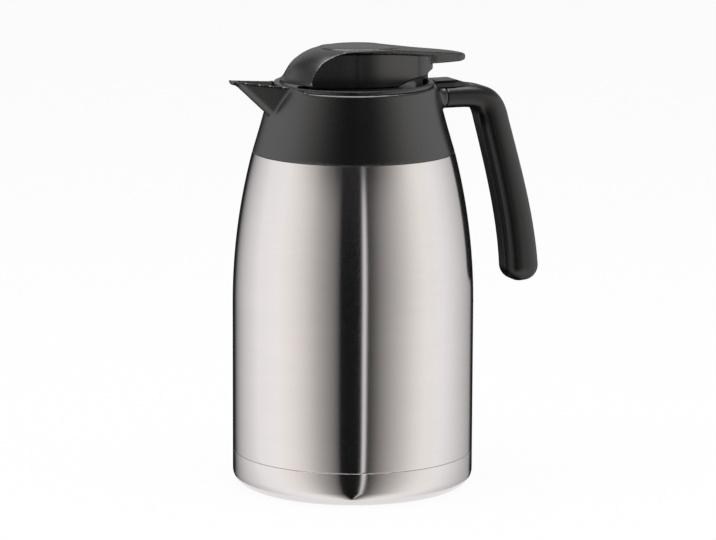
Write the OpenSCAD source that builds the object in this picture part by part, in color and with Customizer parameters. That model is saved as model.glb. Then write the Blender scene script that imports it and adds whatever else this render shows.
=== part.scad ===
// Vacuum carafe with a screw-in pouring stopper and a press-lever lid.
// Origin on the body's axis at the plane that the foot stands on.
// The beak points along -X, the handle along +X, and +Z is up. Millimetres.

/* [Steel body] */
// Outside diameter of the steel body
body_d = 132; // [124:1:140]
// Height up to which the wall is straight
straight_h = 100; // [90:1:110]
// Radius of the arc that draws the wall in above that
shoulder_arc_r = 330; // [310:5:400]
// Height of the seam between steel and collar
seam_z = 184; // [180:1:190]
// Height of the weld between the wall and the base cup
weld_z = 19; // [16:0.5:24]
// Radius of the rounded bottom edge
base_fillet = 8; // [6:0.5:10]
// Width of the flat foot ring
foot_ring_w = 6; // [4:0.5:9]
// Depth of the pressed groove between foot ring and centre pad
foot_groove = 1.5; // [1:0.25:2.5]
// Radius of the flat centre pad
pad_r = 14; // [10:1:20]
// Thickness of the steel sheet
steel_wall = 0.6; // [0.5:0.05:0.8]
// Gap between the two steel walls
vacuum_gap = 4.4; // [3.6:0.1:5.5]

/* [Flask] */
// Inside radius of the steel neck
neck_r = 30.8; // [30:0.2:32]
// Height of the mouth lip above the seam
lip_rise = 17; // [16:0.5:19]
// Height of the inner flask's floor above the foot
flask_floor_z = 12; // [11:0.5:15]
// Radius of the flask floor's rounded edge
flask_fillet = 14; // [10:1:18]
// Height of the hidden vessel bottom above the foot
vessel_bottom_z = 5; // [4:0.5:6]
// Thickness of the copper foil
foil_t = 0.3; // [0.2:0.05:0.4]
// Radius of the getter pill
getter_r = 6; // [4:0.5:8]
// Thickness of the getter pill
getter_h = 3; // [2:0.25:4]
// Radius of the evacuation port
port_r = 2.5; // [2:0.25:4]

/* [Collar] */
// Height of the collar from the seam to its rim
collar_h = 36.3; // [34:0.1:40]
// Diameter of the collar's rim
rim_d = 90.2; // [88:0.2:94]
// How far the collar's side bulges outside a straight cone
collar_bulge = 0.9; // [0.4:0.1:1.6]
// Thickness of the collar's wall
collar_wall = 2.4; // [2:0.1:3]
// Depth of the pouring basin below the rim
basin_depth = 13.2; // [11.5:0.1:14]
// Thickness of the basin's floor
basin_floor_t = 2.4; // [2:0.1:3]
// Thickness of the silicone ring on the steel lip
collar_seal_t = 1.5; // [1.2:0.1:2]

/* [Beak] */
// Distance of the beak's tip from the axis
beak_reach = 72; // [68:0.5:76]
// Radius of the beak's rounded keel
keel_r = 6.8; // [6:0.1:7.6]
// Angle at which each side of the beak opens, in degrees
beak_open = 17; // [13:1:22]
// Half width that the flare adds at the collar
beak_flare = 16.5; // [14:0.5:18]
// Height of the beak's lip above the collar's rim
beak_lip_rise = 5.4; // [4.8:0.1:6.5]
// Height of the beak's sides above the rim, where they leave the flange
beak_root_rise = 3.5; // [3:0.1:3.7]
// Drop of the keel for each millimetre back from the lip
keel_slope = 0.93; // [0.86:0.01:1]
// Length of the thin lip in front of the keel
lip_l = 2.6; // [1.8:0.1:3.4]
// Thickness of the lip
lip_t = 1.3; // [1:0.1:1.8]
// Thickness of the beak's wall
beak_wall = 1.8; // [1.5:0.1:2.2]

/* [Handle] */
// Height of the arm's middle line below the rim
arm_drop = 8.6; // [7.8:0.1:9.4]
// Half height of the arm
arm_half_h = 6.1; // [5.4:0.1:6.8]
// Half width of arm and grip
grip_half_w = 12.6; // [11.5:0.1:13.5]
// Half thickness of the grip at the bend
grip_top_half_t = 8.9; // [8:0.1:9.6]
// Half thickness of the grip at its free end
grip_end_half_t = 10.9; // [10:0.1:12]
// Distance of the bend's outer line from the axis
bend_reach = 81.2; // [78:0.2:84]
// Height of the bend's foot below the arm
bend_drop = 14.2; // [12:0.2:17]
// How much further out the grip's free end lies
grip_lean = 17; // [15:0.2:19]
// Length of the grip below the bend
grip_l = 81; // [75:0.5:87]
// Length of the tenon that sits in the collar's boss
tenon_l = 6; // [5:0.5:7]
// Thickness of the cover on the arm
cap_t = 3.3; // [2.6:0.1:3.5]
// Length of the cover on the arm
cap_l = 21.4; // [18:0.2:24]
// Half width of the cover on the arm
cap_half_w = 9.4; // [8.6:0.1:10.4]
// Radius of a handle screw's shank
screw_r = 1.4; // [1.2:0.1:1.8]
// Distance of each handle screw from the middle
screw_y = 5; // [4.4:0.1:5.4]

/* [Stopper] */
// Inside radius of the threaded throat
throat_r = 28.2; // [27.8:0.1:28.6]
// Radius of the plug without its thread
plug_r = 26; // [25.6:0.1:26.4]
// Thickness of the plug's wall
plug_wall = 2.2; // [1.8:0.1:2.6]
// Radius of the flange that covers the basin
flange_r = 43.7; // [43:0.1:44.1]
// Thickness of the flange
flange_t = 1.7; // [1.4:0.1:2]
// Depth of the dish inside the flange's raised edge
dish_depth = 2.3; // [1.9:0.1:2.5]
// Width of the window that pours into the basin
window_w = 26; // [20:0.5:30]
// Thickness of the gasket at the foot of the plug
gasket_t = 2.3; // [1.8:0.1:2.8]
// Height of the rear stop post above the flange
post_h = 5.2; // [4.4:0.1:5.6]
// Half width of the rear stop post
post_half_w = 5; // [4:0.2:5.4]
// Radius of the lid's hinge pin
hinge_pin_r = 1.6; // [1.4:0.05:1.8]
// Distance of the hinge pin behind the axis
hinge_x = 19; // [18:0.25:20]
// Height of the hinge pin above the flange's underside
hinge_rise = 5.4; // [5.2:0.1:6]

/* [Valve] */
// Radius of the hole in the valve seat
seat_hole_r = 8.5; // [7.5:0.25:9.5]
// Radius of the sealing disc
disc_r = 12; // [11:0.25:13]
// Radius of the valve stem
stem_r = 3; // [2.6:0.1:3.3]
// Mean radius of the spring's coil
spring_r = 5.4; // [5:0.1:6.2]
// Diameter of the spring's wire
spring_wire = 0.9; // [0.7:0.05:1.1]
// Number of turns of the spring
spring_turns = 6; // [4:1:7]
// Room for the spring while the valve is closed
spring_l = 15.2; // [14:0.2:16]
// Radius of the pin that joins stem and lid
stem_pin_r = 1.2; // [1:0.05:1.4]
// Height of that pin above the hinge pin
stem_pin_rise = 5; // [4.6:0.1:5.4]
// Height of the stem's end above its pin
stem_end_rise = 2.4; // [2:0.1:2.6]

/* [Lid] */
// Height of the lid's crown above the collar's rim
lid_h = 23.5; // [22.5:0.1:25]
// Wall thickness of the lid
lid_wall = 2.2; // [1.8:0.1:2.4]
// Distance of the hood's foot inside the flange's edge
hood_inset = 0.9; // [0.6:0.1:1.4]
// Height of the hood's foot above the flange's edge
hood_gap = 1.1; // [0.8:0.1:1.6]
// Radius of the round crown
crown_r = 22.4; // [21.4:0.2:23]
// Distance of the crown's middle behind the axis
crown_x = 3.6; // [2.6:0.2:4.4]
// Step between the round crown and the hood
crown_step = 0.5; // [0.3:0.1:0.9]
// Half width of the cover across its cheeks
cheek_half_w = 18.4; // [17.6:0.1:19]
// Distance from the axis to the rear wall of the cover
cover_rear = 45.4; // [44:0.2:46.4]
// Distance from the axis to the tongue's tip
tongue_reach = 65; // [62:0.25:68]
// Half width of the tongue at the cover
tongue_root_half_w = 10; // [9:0.1:11]
// Half width of the tongue at its tip
tongue_tip_half_w = 7.2; // [6:0.1:8.5]

/* [Hidden] */
$fn = 96;

// Clearances
running_gap = 0.05;   // round a pin that turns
pin_fit = 0.02;       // round a pin that stays
rest_gap = 0.3;       // between faces of two bodies
assembly_gap = 0.1;   // between fixed pieces that slip together
shoulder_gap = 0.5;   // between the steel shoulder and the collar round it
cut = 1;              // how far a cutter runs past a face

// Colours
steel = [0.72, 0.71, 0.69];
satin_black = [0.07, 0.07, 0.075];
soft_grey = [0.55, 0.55, 0.54];
bright_steel = [0.8, 0.8, 0.8];
copper = [0.72, 0.42, 0.26];

// Levels and radii that follow from the sizes above
body_r = body_d / 2;
rim_r = rim_d / 2;
rim_z = seam_z + collar_h;
lip_z = seam_z + lip_rise;
neck_out_r = neck_r + steel_wall;
basin_z = rim_z - basin_depth;
floor_under_z = basin_z - basin_floor_t;
insert_top_z = basin_z + 1.4;
insert_r = neck_r - 0.6;
insert_flange_r = insert_r + 5.8;
ledge_t = 3;
ledge_r = plug_r - 1.6;
ledge_z = lip_z - 14;
basin_r = rim_r - 2.9;
flange_z = rim_z + rest_gap;
flange_top_z = flange_z + flange_t;
dish_r = basin_r - rest_gap;
dish_z = flange_top_z - dish_depth;
dish_under_z = dish_z - flange_t;
plug_foot_z = ledge_z + rest_gap + gasket_t + rest_gap;
hinge_z = flange_z + hinge_rise;
lid_foot_z = dish_z + rest_gap;
hood_r = flange_r - hood_inset;
hood_foot_z = flange_top_z + hood_gap;
crown_z = rim_z + lid_h;
arm_z = rim_z - arm_drop;
arm_top_z = arm_z + arm_half_h;
boss_x = rim_r + 5.9;

// Radius of the outer wall at a height
function wall_r(z) = z <= straight_h ? body_r
    : body_r - shoulder_arc_r + sqrt(pow(shoulder_arc_r, 2) - pow(z - straight_h, 2));
seam_r = wall_r(seam_z);

// Radius of the collar's side at a height: a cone with a slight bulge
function collar_r(z) = let (s = (z - seam_z) / collar_h)
    seam_r + (rim_r - seam_r) * s + collar_bulge * 4 * s * (1 - s);

// Points on an arc about a centre, with one radius along X and one along Y
function arc(c, rx, ry, a0, a1, n) =
    [for (i = [0:n]) let (a = a0 + (a1 - a0) * i / n) [c.x + rx * cos(a), c.y + ry * sin(a)]];

// A cubic curve through p0 and p3
function curve(p0, p1, p2, p3, n, first = 0) = [for (i = [first:n]) let (t = i / n, u = 1 - t)
    p0 * pow(u, 3) + p1 * 3 * u * u * t + p2 * 3 * u * t * t + p3 * pow(t, 3)];

// The same path, moved by t to its left, with mitred corners
function left_of(a, b) = [a.y - b.y, b.x - a.x] / norm(b - a);
function beside(path, t) = let (last = len(path) - 1) [for (i = [0:last])
    let (before = left_of(path[max(i - 1, 0)], path[max(i, 1)]),
         after = left_of(path[min(i, last - 1)], path[min(i + 1, last)]))
    path[i] + (before + after) * t / (1 + before * after)];
function backwards(path) = [for (i = [len(path) - 1:-1:0]) path[i]];
function smooth_step(s) = let (c = max(0, min(1, s))) c * c * (3 - 2 * c);

// Sheet of thickness t on the left of a path, turned about the axis
module turned_sheet(path, t) {
    rotate_extrude()
        polygon(concat(path, backwards(beside(path, t))));
}

module ring(r_in, r_out, z0, z1) {
    rotate_extrude()
        translate([r_in, z0])
            square([r_out - r_in, z1 - z0]);
}

// ---------------------------------------------------------------- steel body

shoulder_r = seam_r - collar_wall - shoulder_gap;
lip_neck_h = 3;

module outer_shell() {
    foot = [[body_r, weld_z], [body_r, straight_h]];
    side = [for (i = [1:16]) let (z = straight_h + (seam_z - straight_h) * i / 16) [wall_r(z), z]];
    end_r = neck_out_r + steel_wall;
    top = arc([end_r, seam_z], shoulder_r - end_r, lip_rise - lip_neck_h, 0, 90, 10);
    color(steel)
        turned_sheet(concat(foot, side, top, [[end_r, lip_z]]), steel_wall);
}

module base_cup() {
    ring_r = body_r - base_fillet - foot_ring_w;
    centre = [[0, 0], [pad_r, 0], [pad_r + foot_groove, foot_groove]];
    groove = [[ring_r - foot_groove, foot_groove], [ring_r, 0]];
    edge = arc([body_r - base_fillet, base_fillet], base_fillet, base_fillet, -90, 0, 8);
    color(steel)
        turned_sheet(concat(centre, groove, edge, [[body_r, weld_z]]), steel_wall);
}

vessel_r = body_r - steel_wall - pin_fit;
vessel_lap = 5;

module vessel_bottom() {
    edge = arc([vessel_r - base_fillet, vessel_bottom_z + base_fillet], base_fillet, base_fillet,
               -90, 0, 8);
    color(steel)
        turned_sheet(concat([[port_r, vessel_bottom_z]], edge, [[vessel_r, weld_z + vessel_lap]]),
                     steel_wall);
}

module vacuum_plug() {
    color(bright_steel)
        rotate_extrude()
            polygon([[0, vessel_bottom_z - 1.2], [port_r + 2, vessel_bottom_z - 1.2],
                     [port_r + 2, vessel_bottom_z], [port_r - pin_fit, vessel_bottom_z],
                     [port_r - pin_fit, vessel_bottom_z + steel_wall], [0, vessel_bottom_z + steel_wall]]);
}

function flask_out_r(z) = wall_r(z) - steel_wall - vacuum_gap;
flask_weld_z = flask_floor_z + flask_fillet + 4;
flask_shoulder_z = seam_z - 14;
flask_shoulder_h = 18;

module inner_flask() {
    foot = [[flask_out_r(flask_weld_z), flask_weld_z], [flask_out_r(straight_h), straight_h]];
    side = [for (i = [1:10]) let (z = straight_h + (flask_shoulder_z - straight_h) * i / 10)
        [flask_out_r(z), z]];
    top = arc([neck_out_r, flask_shoulder_z], flask_out_r(flask_shoulder_z) - neck_out_r,
              flask_shoulder_h, 0, 90, 10);
    color(bright_steel)
        turned_sheet(concat(foot, side, [for (i = [1:10]) top[i]], [[neck_out_r, lip_z]]),
                     steel_wall);
}

module flask_bottom() {
    r = flask_out_r(flask_weld_z);
    edge = arc([r - flask_fillet, flask_floor_z + flask_fillet], flask_fillet, flask_fillet, -90, 0, 8);
    path = concat([[0, flask_floor_z]], edge, [[r, flask_weld_z]]);
    color(bright_steel)
        turned_sheet(path, steel_wall);
}

module radiation_foil() {
    lift = foil_t + assembly_gap;
    foot = [[flask_out_r(flask_weld_z) + lift, flask_weld_z], [flask_out_r(straight_h) + lift, straight_h]];
    side = [for (i = [1:8]) let (z = straight_h + (flask_shoulder_z - straight_h) * i / 8)
        [flask_out_r(z) + lift, z]];
    color(copper)
        turned_sheet(concat(foot, side), foil_t);
}

module getter() {
    getter_x = 22;
    color(soft_grey)
        translate([getter_x, 0, flask_floor_z - getter_h])
            cylinder(r = getter_r, h = getter_h, $fn = 48);
}

// -------------------------------------------------------------------- collar

beak_start = rim_r - 11;
flare_l = 4.5;
beak_stations = 9;
side_points = 5;

// Height of the beak's side and of its keel at distance x from the axis
function beak_top(x) = rim_z + beak_root_rise * smooth_step((x - beak_start - 1) / 9)
    + (beak_lip_rise - beak_root_rise) * max(0, (x - rim_r) / (beak_reach - rim_r));
function keel(x) = rim_z + beak_lip_rise - lip_t - keel_slope * max(0, beak_reach - lip_l - x);
across_keel = cos(atan(keel_slope));

// Half width at n above a keel of radius r: a round bottom, then a side that opens
function flank(n, r) = n < r * (1 - sin(beak_open)) ? sqrt(max(0, r * r - pow(r - n, 2)))
    : r * cos(beak_open) + (n - r * (1 - sin(beak_open))) * tan(beak_open);
function flare(x) = beak_flare * exp((beak_start - x) / flare_l);

// One slice of the beak at distance x, with the keel as its lowest point
function beak_slice(x) = let (low = min(keel(x), beak_top(x) - lip_t), h = beak_top(x) - low)
    [for (i = [-side_points:side_points]) let (s = pow(abs(i) / side_points, 2))
        [-x, sign(i) * (flank(s * h * across_keel, keel_r) + flare(x) * s), low + s * h]];

// The same for the channel, beak_wall further in, with a flat floor and open above
function channel_slice(x, rise) = let (wall_z = keel(min(x, beak_reach)) + beak_wall / across_keel,
        top = beak_top(min(x, beak_reach)), low = min(max(wall_z, basin_z + 0.5), top - 0.4),
        side = [for (i = [0:side_points]) let (z = low + (top - low) * pow(i / side_points, 2))
            [max(0.4, flank((z - wall_z) * across_keel, keel_r - beak_wall)), z]])
    concat([for (p = backwards(side)) [-x, -p[0], p[1]]], [for (p = side) [-x, p[0], p[1]]],
           [[-x, side[side_points][0], top + rise], [-x, -side[side_points][0], top + rise]]);

// Skin through slices that all have the same number of points, closed at both ends
module loft(slices) {
    n = len(slices[0]);
    m = len(slices);
    points = [for (slice = slices) each slice];
    sides = [for (j = [0:m - 2]) for (i = [0:n - 1]) let (k = (i + 1) % n)
        each [[j * n + i, j * n + k, (j + 1) * n + k], [j * n + i, (j + 1) * n + k, (j + 1) * n + i]]];
    start = [for (i = [n - 1:-1:0]) i];
    end = [for (i = [0:n - 1]) (m - 1) * n + i];
    polyhedron(points, concat(sides, [start, end]));
}

function beak_x(j) = beak_start + (beak_reach - beak_start) * j / beak_stations;

module beak() {
    loft([for (j = [0:beak_stations]) beak_slice(beak_x(j))]);
}

module beak_channel() {
    loft([for (j = [0:beak_stations]) channel_slice(beak_x(j) + (j == beak_stations ? cut : 0), 6)]);
}

module handle_boss() {
    half_w = grip_half_w + 1.2;
    low = arm_z - arm_half_h - 2;
    translate([rim_r - 6, 0, 0])
        rotate([90, 0, 90])
            linear_extrude(boss_x - rim_r + 6)
                offset(r = 4, $fn = 32)
                    offset(delta = -4)
                        translate([-half_w, low])
                            square([2 * half_w, arm_top_z - low]);
}

tenon_half_w = 9;
tenon_half_h = 3.7;
head_r = 2 * screw_r;
head_h = 1.8;
screw_x = boss_x - tenon_l / 2;

module screw_holes(gap) {
    for (side = [-1, 1])
        translate([screw_x, side * screw_y, arm_z - arm_half_h])
            cylinder(r = screw_r + gap, h = 2 * arm_half_h + cut, $fn = 24);
}

module collar() {
    n = 6;
    side = [for (i = [0:n]) let (z = seam_z + collar_h * i / n) [collar_r(z), z]];
    under = [for (i = [0:n]) let (z = seam_z - cut + (floor_under_z - seam_z + cut) * i / n)
        [collar_r(max(z, seam_z)) - collar_wall, z]];
    color(satin_black)
        difference() {
            union() {
                rotate_extrude()
                    polygon(concat([[0, seam_z]], side, [[0, rim_z]]));
                beak();
                handle_boss();
            }
            rotate_extrude()
                polygon([[0, basin_z], [basin_r - 3, basin_z], [basin_r, basin_z + 3],
                         [basin_r, rim_z + cut], [0, rim_z + cut]]);
            rotate_extrude()
                polygon(concat([[0, seam_z - cut]], under, [[0, floor_under_z]]));
            translate([0, 0, floor_under_z - cut])
                cylinder(r = insert_r + assembly_gap, h = basin_floor_t + 2 * cut);
            translate([0, 0, rim_z])
                cylinder(r = flange_r + rest_gap + 0.1, h = 3 * cut + beak_root_rise);
            beak_channel();
            translate([boss_x - tenon_l - assembly_gap, -tenon_half_w - assembly_gap,
                       arm_z - tenon_half_h - assembly_gap])
                cube([tenon_l + assembly_gap + cut, 2 * (tenon_half_w + assembly_gap),
                      2 * (tenon_half_h + assembly_gap)]);
            screw_holes(pin_fit);
            for (y = [-1, 1])
                translate([screw_x, y * screw_y, arm_top_z - head_h])
                    cylinder(r = head_r + pin_fit, h = head_h + cut, $fn = 32);
        }
}

module neck_insert() {
    flange_low = lip_z + collar_seal_t;
    color(satin_black)
        rotate_extrude()
            polygon([[ledge_r, ledge_z - ledge_t], [insert_r, ledge_z - ledge_t], [insert_r, flange_low],
                     [insert_flange_r, flange_low], [insert_flange_r, floor_under_z],
                     [insert_r, floor_under_z], [insert_r, insert_top_z], [throat_r, insert_top_z],
                     [throat_r, ledge_z], [ledge_r, ledge_z]]);
}

module collar_seal() {
    color(soft_grey)
        ring(insert_r + assembly_gap, neck_out_r + 2, lip_z, lip_z + collar_seal_t);
}

// -------------------------------------------------------------------- handle

arm_run = 9;
grip_foot_z = arm_z - bend_drop - grip_l;

// The middle line of the handle in the XZ plane: arm, bend and grip
handle_line = concat(
    [[boss_x, arm_z]],
    curve([boss_x + arm_run, arm_z], [boss_x + arm_run + 12, arm_z],
          [bend_reach - 3, arm_z - 4.5], [bend_reach, arm_z - bend_drop], 8),
    curve([bend_reach, arm_z - bend_drop], [bend_reach + 0.43 * grip_lean, arm_z - bend_drop - grip_l / 3],
          [bend_reach + 0.88 * grip_lean, arm_z - bend_drop - grip_l * 2 / 3],
          [bend_reach + grip_lean, grip_foot_z], 9, 1));

// One slice of the handle across its line, a rounded block of 4 * quarter points
function handle_slice(p, dir, half_t, half_w) = let (across = [-dir.y, dir.x], quarter = 5, e = 0.62)
    [for (i = [0:4 * quarter - 1]) let (a = 360 * (i + 0.5) / (4 * quarter),
        u = half_t * sign(cos(a)) * pow(abs(cos(a)), e), v = half_w * sign(sin(a)) * pow(abs(sin(a)), e))
     [p.x + across.x * u, v, p.y + across.y * u]];

function heading(path, i) = let (d = path[min(i + 1, len(path) - 1)] - path[max(i - 1, 0)]) d / norm(d);

module handle() {
    last = len(handle_line) - 1;
    end_r = 9;
    dir = heading(handle_line, last);
    main = [for (i = [0:last]) let (s = smooth_step((i - 3) / 5), g = max(0, (i - 8) / (last - 8)))
        handle_slice(handle_line[i], heading(handle_line, i),
            arm_half_h + (grip_top_half_t - arm_half_h) * s + (grip_end_half_t - grip_top_half_t) * g,
            grip_half_w)];
    tip = [for (a = [20, 45, 68, 84]) handle_slice(handle_line[last] + dir * end_r * sin(a), dir,
        grip_end_half_t - end_r + end_r * cos(a), grip_half_w - end_r + end_r * cos(a))];
    color(satin_black)
        difference() {
            union() {
                loft(concat(main, tip));
                translate([boss_x - tenon_l, -tenon_half_w, arm_z - tenon_half_h])
                    cube([tenon_l + cut, 2 * tenon_half_w, 2 * tenon_half_h]);
            }
            screw_holes(pin_fit);
        }
}

cap_x = rim_r - 0.4;

module handle_cap() {
    edge = 1.2;
    color(satin_black)
        intersection() {
            translate([0, 0, arm_top_z])
                linear_extrude(cap_t)
                    hull() {
                        translate([cap_x, -cap_half_w])
                            square([cap_l / 2, 2 * cap_half_w]);
                        for (y = [-1, 1])
                            translate([cap_x + cap_l - 5, y * (cap_half_w - 5.8)])
                                circle(5, $fn = 32);
                    }
            rotate([90, 0, 90])
                linear_extrude(cap_x + cap_l)
                    polygon([[-cap_half_w, arm_top_z], [cap_half_w, arm_top_z],
                             [cap_half_w, arm_top_z + cap_t - edge],
                             [cap_half_w - 2 * edge, arm_top_z + cap_t],
                             [2 * edge - cap_half_w, arm_top_z + cap_t],
                             [-cap_half_w, arm_top_z + cap_t - edge]]);
            rotate([90, 0, 0])
                linear_extrude(2 * cap_half_w + 2, center = true)
                    polygon([[cap_x, arm_top_z], [cap_x + cap_l, arm_top_z],
                             [cap_x + cap_l, arm_top_z + 0.8], [cap_x + cap_l - 8, arm_top_z + cap_t],
                             [cap_x + 1, arm_top_z + cap_t], [cap_x, arm_top_z + cap_t - 1]]);
            difference() {
                translate([cap_x, -cap_half_w - 1, arm_top_z - 1])
                    cube([cap_l, 2 * cap_half_w + 2, cap_t + 2]);
                cylinder(r = collar_r(arm_top_z) + assembly_gap, h = rim_z + cap_t);
            }
        }
}

module handle_screws() {
    color(bright_steel)
        for (y = [-1, 1])
            translate([screw_x, y * screw_y, arm_top_z - head_h]) {
                cylinder(r = head_r, h = head_h, $fn = 32);
                translate([0, 0, head_h - 2 * arm_half_h + 0.6])
                    cylinder(r = screw_r, h = 2 * arm_half_h - head_h, $fn = 24);
            }
}

// ------------------------------------------------------------------- stopper

seat_skirt_r = ledge_r - rest_gap;
lug_t = 3;
lug_y = 8.5;

module stopper_seal() {
    color(soft_grey)
        ring(seat_skirt_r + rest_gap, throat_r - rest_gap, ledge_z + rest_gap,
             ledge_z + rest_gap + gasket_t);
}

// Half width of the cheeks at x, and the cover's outline seen from above
cheek_mid_x = 12;
cheek_arc_r = 56;
tail_x = 27.4;
function cheek_w(x) = cheek_half_w - pow(x - cheek_mid_x, 2) / (2 * cheek_arc_r);
cheek_front_x = cheek_mid_x - sqrt(2 * cheek_arc_r * (cheek_half_w - 1));
cover_half = concat(
    [for (i = [0:12]) let (x = cheek_front_x + (tail_x - cheek_front_x) * i / 12) [x, cheek_w(x)]],
    [for (a = [80:-10:0]) [tail_x + (cover_rear - tail_x) * cos(a), cheek_w(tail_x) * sin(a)]]);

module cover_plan() {
    polygon(concat(cover_half, [for (p = backwards(cover_half)) if (p.y > 0) [p.x, -p.y]]));
}

module stopper_body() {
    window_z = insert_top_z + 1;
    post_x = dish_r - 3.4;
    bead_in_r = dish_r - flange_t;
    bead_edge = 0.8;
    color(satin_black)
        difference() {
            union() {
                ring(plug_r - plug_wall, plug_r, plug_foot_z, dish_z - flange_t / 2);
                rotate_extrude()
                    polygon([[0, dish_under_z], [dish_r, dish_under_z], [dish_r, flange_z],
                             [flange_r, flange_z], [flange_r, flange_top_z - bead_edge],
                             [flange_r - 0.3 * bead_edge, flange_top_z - 0.3 * bead_edge],
                             [flange_r - bead_edge, flange_top_z], [bead_in_r + bead_edge, flange_top_z],
                             [bead_in_r + 0.3 * bead_edge, flange_top_z - 0.3 * bead_edge],
                             [bead_in_r, flange_top_z - bead_edge], [bead_in_r, dish_z], [0, dish_z]]);
                for (y = [-1, 1])
                    translate([0, y * (lug_y + lug_t / 2), 0])
                        rotate([90, 0, 0])
                            linear_extrude(lug_t, center = true) {
                                translate([hinge_x, hinge_z])
                                    circle(2 * hinge_pin_r);
                                translate([hinge_x - 2 * hinge_pin_r, dish_z - 0.5])
                                    square([4 * hinge_pin_r, hinge_z - dish_z + 0.5]);
                            }
                intersection() {
                    cylinder(r = dish_r, h = flange_top_z + post_h);
                    translate([post_x, -post_half_w, dish_z - 0.5])
                        cube([dish_r - post_x, 2 * post_half_w, flange_top_z + post_h - dish_z + 0.5]);
                }
            }
            translate([-plug_r - cut, -window_w / 2, window_z])
                cube([plug_r, window_w, dish_under_z - 1 - window_z]);
            translate([0, 0, dish_under_z - cut])
                cylinder(r = stem_r + rest_gap, h = flange_t + 2 * cut, $fn = 48);
            translate([hinge_x, 0, hinge_z])
                rotate([90, 0, 0])
                    cylinder(r = hinge_pin_r + pin_fit, h = 2 * (lug_y + lug_t) + 2, center = true,
                             $fn = 48);
        }
}

seat_plate_t = 2.6;
seat_lip_h = 0.6;
seat_z = plug_foot_z - 1;

module valve_seat() {
    plug_in_r = plug_r - plug_wall - pin_fit;
    color(satin_black)
        rotate_extrude()
            polygon([[seat_hole_r, seat_z - seat_plate_t], [seat_skirt_r, seat_z - seat_plate_t],
                     [seat_skirt_r, plug_foot_z - rest_gap], [plug_in_r, plug_foot_z - rest_gap],
                     [plug_in_r, plug_foot_z + 4], [plug_in_r - 1.6, plug_foot_z + 4],
                     [plug_in_r - 1.6, seat_z], [seat_hole_r + 1.8, seat_z],
                     [seat_hole_r + 1.4, seat_z + seat_lip_h], [seat_hole_r, seat_z + seat_lip_h]]);
}

lid_ear_t = 3;
lid_ear_y = lug_y + lug_t + rest_gap + 0.1;

module hinge_pin() {
    color(bright_steel)
        translate([hinge_x, 0, hinge_z])
            rotate([90, 0, 0])
                cylinder(r = hinge_pin_r, h = 2 * (lid_ear_y + lid_ear_t), center = true, $fn = 48);
}

// --------------------------------------------------------------------- valve

disc_z = seat_z + seat_lip_h;
disc_t = 2.4;
carrier_t = 2;
shoulder_z = dish_under_z - spring_l;
shoulder_t = 1.6;
stem_pin_z = hinge_z + stem_pin_rise;
stem_top_z = stem_pin_z + stem_end_rise;
stem_pin_l = 13;

module valve_stem() {
    hub_r = spring_r + spring_wire;
    color(satin_black)
        difference() {
            rotate_extrude()
                polygon([[0, disc_z + disc_t], [disc_r - 1.5, disc_z + disc_t],
                         [disc_r - 1.5, disc_z + disc_t + carrier_t],
                         [stem_r, disc_z + disc_t + carrier_t + 1.5], [stem_r, shoulder_z - shoulder_t],
                         [hub_r, shoulder_z - shoulder_t], [hub_r, shoulder_z], [stem_r, shoulder_z],
                         [stem_r, stem_top_z - 0.8], [stem_r - 0.8, stem_top_z], [0, stem_top_z]]);
            translate([0, 0, stem_pin_z])
                rotate([90, 0, 0])
                    cylinder(r = stem_pin_r + pin_fit, h = 2 * stem_r + 2 * cut, center = true, $fn = 48);
        }
}

module valve_seal() {
    color(soft_grey)
        translate([0, 0, disc_z])
            cylinder(r = disc_r, h = disc_t);
}

module stem_pin() {
    color(bright_steel)
        translate([0, 0, stem_pin_z])
            rotate([90, 0, 0])
                cylinder(r = stem_pin_r, h = stem_pin_l, center = true, $fn = 48);
}

// Coil between the stem's shoulder and the underside of the flange, as one tube
module valve_spring() {
    steps = 14;
    wire_r = spring_wire / 2;
    low = shoulder_z + wire_r + 0.05;
    high = dish_under_z - wire_r - 0.05;
    color(bright_steel)
        loft([for (i = [0:steps * spring_turns]) let (a = 360 * i / steps,
                z = low + (high - low) * i / (steps * spring_turns))
            [for (b = [0:60:300]) let (r = spring_r + wire_r * cos(b))
                [r * cos(a), r * sin(a), z + wire_r * sin(b)]]]);
}

// ----------------------------------------------------------------------- lid

hood_back_x = -30;
hood_edge_x = -7;
hood_edge_h = crown_z - 2.8 - hood_foot_z;
lid_top_z = crown_z - 3.4;
tail_top_z = crown_z - 5.2;
tail_edge_z = flange_top_z + 6.4;
tongue_z = rim_z + 10.5;

// The dome that hood and crown are parts of, with its skin moved in by t
module dome(t, foot) {
    profile = concat([[0, foot - 10], [hood_r, foot - 10]],
        curve([hood_r, hood_foot_z - 1], [0.8 * hood_r, hood_foot_z + 6.5],
              [0.814 * hood_r, crown_z - 3.8], [0.35 * hood_r, crown_z - 0.6], 14), [[0, crown_z]]);
    rotate_extrude()
        intersection() {
            offset(delta = -t) {
                polygon(profile);
                mirror([1, 0])
                    polygon(profile);
            }
            translate([0, foot])
                square([hood_r + 9, crown_z - foot]);
        }
}

// Half width of the hood at x: straight at the back and flared over the beak
function hood_w(x) = cheek_half_w - 0.4 + 8.9 * exp(-(x + 33) / 9);

module hood_plan(back) {
    half = [for (i = [0:16]) let (x = -hood_r - 1 + (back + hood_r + 1) * i / 16) [x, hood_w(x)]];
    polygon(concat(half, [for (p = backwards(half)) [p.x, -p.y]]));
}

// Seen from the side: all that lies in front of and above the hood's curved edge
module hood_side() {
    edge = arc([hood_edge_x, hood_foot_z], hood_edge_x - hood_back_x, hood_edge_h, 180, 90, 10);
    rotate([90, 0, 0])
        linear_extrude(4 * hood_r, center = true)
            polygon(concat([[-2 * hood_r, hood_foot_z - 1]], [[hood_back_x, hood_foot_z - 1]], edge,
                           [[cheek_mid_x, hood_foot_z + hood_edge_h], [cheek_mid_x, crown_z + 9],
                            [-2 * hood_r, crown_z + 9]]));
}

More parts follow.
